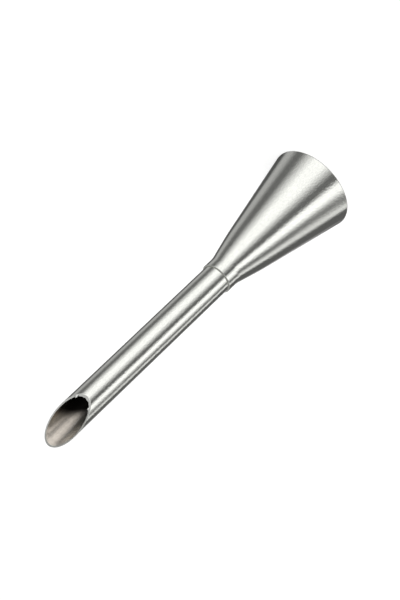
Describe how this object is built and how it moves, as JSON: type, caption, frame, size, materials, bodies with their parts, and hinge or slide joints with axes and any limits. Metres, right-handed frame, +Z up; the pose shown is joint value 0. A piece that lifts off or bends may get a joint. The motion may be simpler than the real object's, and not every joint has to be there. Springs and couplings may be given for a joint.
{
  "type": "filling piping tip",
  "caption": "Long steel filling nozzle for pastry: a drawn cone whose neck holds a thin tube ending in a slant-cut point.",
  "frame": {"origin": "centre of the cone's rim, in the plane that the tip stands on", "axes": "+Z up the tube towards its point; the slant cut opens towards -Y, and the point is on the +Y side"},
  "size_m": [0.0218, 0.0218, 0.095],
  "materials": {
    "cone_steel": "bright, finely brushed",
    "tube_steel": "bright, finely brushed"
  },
  "bodies": {
    "root": {"funnel_cone": "cone_steel", "filling_tube": "tube_steel"}
  },
  "joints": []
}
